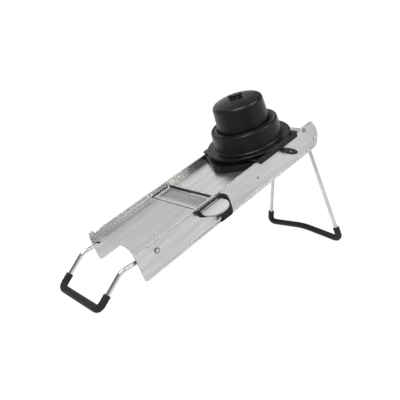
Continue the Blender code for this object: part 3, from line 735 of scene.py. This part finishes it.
def wing_outline(half_length, half_width, turn, count=96):
    """A rounded bar, fuller than an ellipse, turned by an angle in degrees."""
    power = 3                           # 2 would be an ellipse
    points = []
    for i in range(count):
        a = 2 * math.pi * i / count
        total = abs(math.cos(a) / half_length) ** power + abs(math.sin(a) / half_width) ** power
        reach = total ** (-1 / power)
        angle = a + math.radians(turn)
        points.append((reach * math.cos(angle), reach * math.sin(angle)))
    return points


def pusher():
    """The stepped housing with its flange, and the domed cap, spindle and wing knob in it."""
    u = middle("pusher_housing").x
    axis = at(u, 0, 0)
    mouth = [(45.6, 85.8), (46.0, 86.5), (46.8, 86.8), (47.6, 86.7), (48.4, 86.1), (49.6, 85.6),
             (51.6, 85.6), (52.6, 86.1), (53.5, 86.7)]
    shoulder, wall = arc(54.2, 83.8, 3.0, 88, 4, 8), [(57.6, 78.0), (58.9, 61.0)]
    fillet = arc(61.9, 59.7, 3.0, 190, 262, 5)
    flange = [(64.4, 56.5), (70.4, 56.3), *arc(71.2, 54.5, 1.8, 80, -60, 8), (70.6, 51.2)]
    collar = [(58.4, 51.15), (58.2, 50.8), (58.2, 47.6), (55.6, 47.6)]
    inside = [(55.0, 58.0), (53.2, 81.0), (50.5, 83.8), (48.0, 83.8), (48.0, 72.0), (45.5, 72.0)]
    housing = mouth + shoulder + wall + fillet + flange + collar + inside
    piece(turned("housing_shell", housing, axis, 128), "pusher", BLACK, "black_plastic",
          "pusher_housing")
    bore, rim_r, crown, fall, steps = 3.4, 36.5, 134.0, 5.5, 12
    dome = [(bore + (rim_r - bore) * i / steps, crown - fall * (i / steps) ** 2)
            for i in range(steps + 1)]
    rim = arc(36.0, 121.7, 6.8, 78, 4, 10)
    outside = [(43.0, 116.0), (43.6, 104.0), (44.5, 88.0), (44.9, 73.4)]
    inside = [(42.4, 73.4), (42.0, 86.0), (41.0, 104.0), (40.2, 120.5), (38.2, 124.2),
              (34.0, 126.2), (22.0, 129.2), (12.0, 130.8), (bore, 131.4)]
    cap = dome + rim + outside + inside
    piece(turned("cap_shell", cap, axis, 128), "cap", BLACK, "black_plastic", "pusher_cap")
    repaint("pin_plate", BLADE_STEEL)
    spindle = turned("spindle_rod", [(0.0, 134.1), (2.6, 134.1), (3.0, 133.7), (3.0, 77.7),
                                     (6.5, 77.5), (6.5, 75.4), (6.2, 75.2), (0.0, 75.2)], axis, 40)
    piece(spindle, "cap_knob_body", WIRE, "bright_wire", "cap_spindle")
    low, _ = span("cap_knob")
    knob_t = 4.4
    knob = sheet("knob_wing", [wing_outline(12.0, 5.0, -45.0)], knob_t, 1.7,
                 at(u, 0, low.z + knob_t / 2), 5)
    piece(knob, "cap_knob_body", BLACK, "black_plastic", "cap_knob")


# ---------------------------------------------------------------- lever, shaft and stops

def lever():
    """An oval lever on a boss: a raised rim round a shallow lens-shaped field."""
    u, w = axis_of("lever_turn")
    lean = Matrix.Rotation(math.radians(-34.0), 4, "Z")
    half_length, half_width = 18.7, 5.2
    outline = [(half_length * math.cos(a), half_width * math.sin(a))
               for a in (math.radians(d) for d in range(0, 360, 4))]
    inner, outer = WALL_OUT + 3.9, WALL_OUT + 8.5
    field = outer - 0.8
    body = sheet("lever_body", [outline], field - inner, 1.2,
                 at(u, -(inner + field) / 2, w) @ UPRIGHT @ lean, 4)
    piece(body, "lever", BLACK_GLOSS, "black_plastic", "lever_knob")
    boss_line = [(3.3, 0.0), (4.3, 0.0), (4.6, 0.3), (4.6, 4.0), (3.3, 4.0)]
    boss = turned("lever_boss", boss_line, at(u, -(WALL_OUT + 0.9), w) @ OUTWARD[-1.0], 40)
    piece(boss, "lever", BLACK_GLOSS, "black_plastic")
    rim_line = [(0.93 * x, 0.80 * y, 0) for x, y in outline]
    rim_r = 0.9
    rim = tube("lever_rim", rim_line, rim_r, at(u, -(outer - rim_r), w) @ UPRIGHT @ lean, sides=4,
               cyclic=True)
    piece(rim, "lever", BLACK_GLOSS, "black_plastic")
    lens_line = [(0.66 * x, 0.50 * y) for x, y in outline]
    lens = sheet("lever_lens", [lens_line], 0.9, 0.4, at(u, -field, w) @ UPRIGHT @ lean, 3)
    piece(lens, "lever", BLACK_GLOSS, "black_plastic")
    seat = -(WALL_OUT + 8.1)
    head = screw_head("head_lever_screw", 1.7, 0.5, at(u, seat, w) @ OUTWARD[-1.0], 0.0)
    piece(head, "lever", DARK_STEEL, "bright_wire", "lever_screw")
    for node, material in (("cam_shaft", WIRE), ("shaft_clip", WIRE), ("cam_near", BLACK),
                           ("cam_far", BLACK), ("cross_brace_mid", WALL_STEEL),
                           ("leg_stop_plate", WALL_STEEL)):
        repaint(node, material)


def corner_pads():
    """Rubber strips under the lower table's low corners."""
    for side, sign in SIDES:
        low, high = span(f"leg_pad_{side}")
        outer = max(abs(low.y), abs(high.y))
        inner = min(abs(low.y), abs(high.y))
        steps = 12
        places = [outer + (inner - outer) * i / steps for i in range(steps + 1)]
        outline = [(low_edge(v, 0.2), sign * v) for v in places]
        outline += [(low_edge(v, 9.0), sign * v) for v in reversed(places)]
        pad = sheet(f"corner_pad_{side}", [outline], high.z - low.z, 0.3,
                    at(w=(low.z + high.z) / 2))
        piece(pad, "frame", RUBBER, "foot_rubber", f"leg_pad_{side}")


# ---------------------------------------------------------------- legs

def both_sides(corners):
    """A path down one arm and back up its mirror image on the other side."""
    return corners + [(u, -v, w) for u, v, w in reversed(corners) if v > 0]


def up_arm(foot, top, length):
    """The point so far up the arm from its foot."""
    foot_v = Vector(foot)
    return tuple(foot_v + (Vector(top) - foot_v).normalized() * length)


def leg(name, corners, radii, foot_corners, foot_radii, sleeve, arm_share):
    """A bent wire and the rubber sleeve on its foot, cut flat where it stands.

    arm_share thickens or thins the sleeve's two upper ends."""
    wire = tube(f"{name}_bent_wire", rounded_path(corners, radii), WIRE_R, sides=8)
    piece(wire, name, WIRE, "bright_wire", f"{name}_wire")
    path = rounded_path(foot_corners, foot_radii)
    count = len(path)
    arm_points = 6
    scale = [arm_share if min(i, count - 1 - i) < arm_points else 1.0 for i in range(count)]
    first, last = path[0], path[-1]
    lead = (path[0] - path[1]).normalized()
    trail = (path[-1] - path[-2]).normalized()
    mouth = ((0.9, 0.78), (0.5, 0.94))  # millimetres past the end, and the radius's share there
    path = ([first + lead * past for past, _ in mouth] + path
            + [last + trail * past for past, _ in reversed(mouth)])
    scale = ([scale[0] * share for _, share in mouth] + scale
             + [scale[-1] * share for _, share in reversed(mouth)])
    foot = tube(f"{name}_sleeve", path, sleeve, sides=8, radii=scale)
    below_floor = block(f"{name}_floor", (-600, -300, -80), (600, 300, 0), 0.1, TO_DECK)
    cut(foot, [below_floor])
    piece(foot, name, RUBBER, "foot_rubber", f"{name}_foot")


def legs():
    """Corners in deck u, v, w; the rear leg is a little skewed and its foot dips at both ends."""
    pin_end, sleeve_r = 62.3, 5.65
    front_half = 53.0
    u, w = axis_of("front_leg_fold")
    pin, turn = (u, pin_end, w), (u, front_half, w)
    under, bend = (0.0, front_half, 30.95), (-23.0, front_half, 33.7)
    foot = (-74.5, front_half, 6.4)
    bends = [5, 60, 26, 9]
    leg("front_leg", both_sides([pin, turn, under, bend, foot]), bends + bends[::-1],
        both_sides([up_arm(foot, bend, 22), foot]), bends[-1:] * 2, sleeve_r, 0.95)
    u, w = axis_of("rear_leg_fold")
    foot_u, foot_w, arch = 380.3, -185.9, 10.0
    rise = arch / math.dist((u, w), (foot_u, foot_w))
    middle_at = (foot_u + (u - foot_u) * rise, 0.0, foot_w + (w - foot_w) * rise)
    far_top, far_foot = (u, 28.0, w), (foot_u, 89.0, foot_w)
    near_foot, near_top = (foot_u, -84.0, foot_w), (u, -40.0, w)
    wire = [(u, pin_end, w), far_top, far_foot, middle_at, near_foot, near_top, (u, -pin_end, w)]
    sleeve = [up_arm(far_foot, far_top, 25), far_foot, middle_at, near_foot,
              up_arm(near_foot, near_top, 25)]
    foot_bends = [8, 150, 8]
    leg("rear_leg", wire, [6, *foot_bends, 6], sleeve, foot_bends, sleeve_r, 1.04)


# ---------------------------------------------------------------- floor, light and camera

HORIZON, SKY = 1.02, 0.24   # white near the horizon, soft grey overhead


def world_light():
    """White low down and soft grey overhead, by the height of the direction alone."""
    world = bpy.data.worlds.new("studio")
    bpy.context.scene.world = world
    world.use_nodes = True
    tree = world.node_tree
    coords = tree.nodes.new("ShaderNodeTexCoord")
    parts = tree.nodes.new("ShaderNodeSeparateXYZ")
    ramp = tree.nodes.new("ShaderNodeValToRGB")
    for element, height, grey in zip(ramp.color_ramp.elements, (0.20, 0.42), (HORIZON, SKY)):
        element.position = height
        element.color = (grey, grey, grey, 1.0)
    tree.links.new(coords.outputs["Generated"], parts.inputs["Vector"])
    tree.links.new(parts.outputs["Z"], ramp.inputs["Fac"])
    tree.links.new(ramp.outputs["Color"], tree.nodes["Background"].inputs["Color"])


def panel(name, where, size, radiance):
    """A square soft panel of a given brightness, facing the middle of the object."""
    target = (0.0, 0.0, 0.1)
    data = bpy.data.lights.new(name, "AREA")
    data.size = size
    data.energy = radiance * math.pi * size * size
    lamp = bpy.data.objects.new(name, data)
    bpy.context.scene.collection.objects.link(lamp)
    lamp.location = where
    turn = (Vector(target) - Vector(where)).to_track_quat("-Z", "Y")
    lamp.rotation_euler = turn.to_euler()
    lamp.visible_camera = False


def flag(where, width, depth, turn):
    """A black card on the floor, seen only in reflections, which keeps the dark plastic dark."""
    bm = bmesh.new()
    bmesh.ops.create_grid(bm, x_segments=4, y_segments=4, size=0.5)
    mesh = bpy.data.meshes.new("studio_flag")
    bm.to_mesh(mesh)
    bm.free()
    card = bpy.data.objects.new("studio_flag", mesh)
    bpy.context.scene.collection.objects.link(card)
    card.location = where
    card.scale = (width, depth, 1.0)
    card.rotation_euler = (0.0, 0.0, -math.radians(turn))
    mat, _, shader = node_material("flag_black")
    shader.inputs["Base Color"].default_value = (0.02, 0.02, 0.02, 1.0)
    shader.inputs["Roughness"].default_value = 0.9
    card.data.materials.append(mat)
    card.visible_camera = False
    card.visible_shadow = False


def studio():
    """A round pale floor just below the feet, four soft panels and the black card."""
    radius, drop = 5.0, 0.0003
    bm = bmesh.new()
    bmesh.ops.create_circle(bm, cap_ends=True, segments=96, radius=radius)
    bmesh.ops.translate(bm, vec=(0, 0, -drop), verts=bm.verts)
    mesh = bpy.data.meshes.new("studio_floor")
    bm.to_mesh(mesh)
    bm.free()
    floor = bpy.data.objects.new("studio_floor", mesh)
    bpy.context.scene.collection.objects.link(floor)
    mat, _, shader = node_material("floor_white")
    shader.inputs["Base Color"].default_value = (0.10, 0.10, 0.10, 1.0)
    shader.inputs["Roughness"].default_value = 0.95
    shader.inputs["Specular IOR Level"].default_value = 0.0
    shader.inputs["Emission Color"].default_value = (1.0, 1.0, 1.0, 1.0)
    shader.inputs["Emission Strength"].default_value = 0.97
    floor.data.materials.append(mat)
    world_light()
    panel("back_panel", (0.33, 1.30, 1.15), 1.4, 0.66)
    panel("front_panel", (0.45, -1.15, 1.05), 1.0, 1.2)
    panel("top_left_panel", (-0.60, -0.20, 1.30), 0.56, 18.0)
    panel("top_right_panel", (0.30, -0.62, 1.35), 0.50, 11.0)
    flag((-0.60, -0.70, 0.002), 1.5, 0.95, 40.0)
    bpy.context.scene.view_settings.view_transform = "Standard"


def camera():
    """At the photograph's angle: yaw is from +Y towards +X, pitch is up."""
    yaw, pitch, roll = math.radians(40.32), math.radians(-13.71), math.radians(-0.67)
    level = math.cos(pitch)
    ahead = Vector((math.sin(yaw) * level, math.cos(yaw) * level, math.sin(pitch)))
    right = Vector((math.cos(yaw), -math.sin(yaw), 0.0))
    up = right.cross(ahead)
    right, up = (right * math.cos(roll) + up * math.sin(roll),
                 up * math.cos(roll) - right * math.sin(roll))
    data = bpy.data.cameras.new("camera")
    data.lens = 48.78
    data.sensor_width = 36.0
    eye = bpy.data.objects.new("camera", data)
    bpy.context.scene.collection.objects.link(eye)
    matrix = Matrix((right, up, -ahead)).transposed().to_4x4()
    from_deck = Vector((-0.39857, -0.64971, 0.28966))
    eye.matrix_world = Matrix.Translation(DECK.translation + from_deck) @ matrix
    bpy.context.scene.camera = eye


side_walls()
rails()
lower_table()
feed_table()
fasteners()
cartridge()
carriage()
pusher()
lever()
corner_pads()
legs()
studio()
camera()
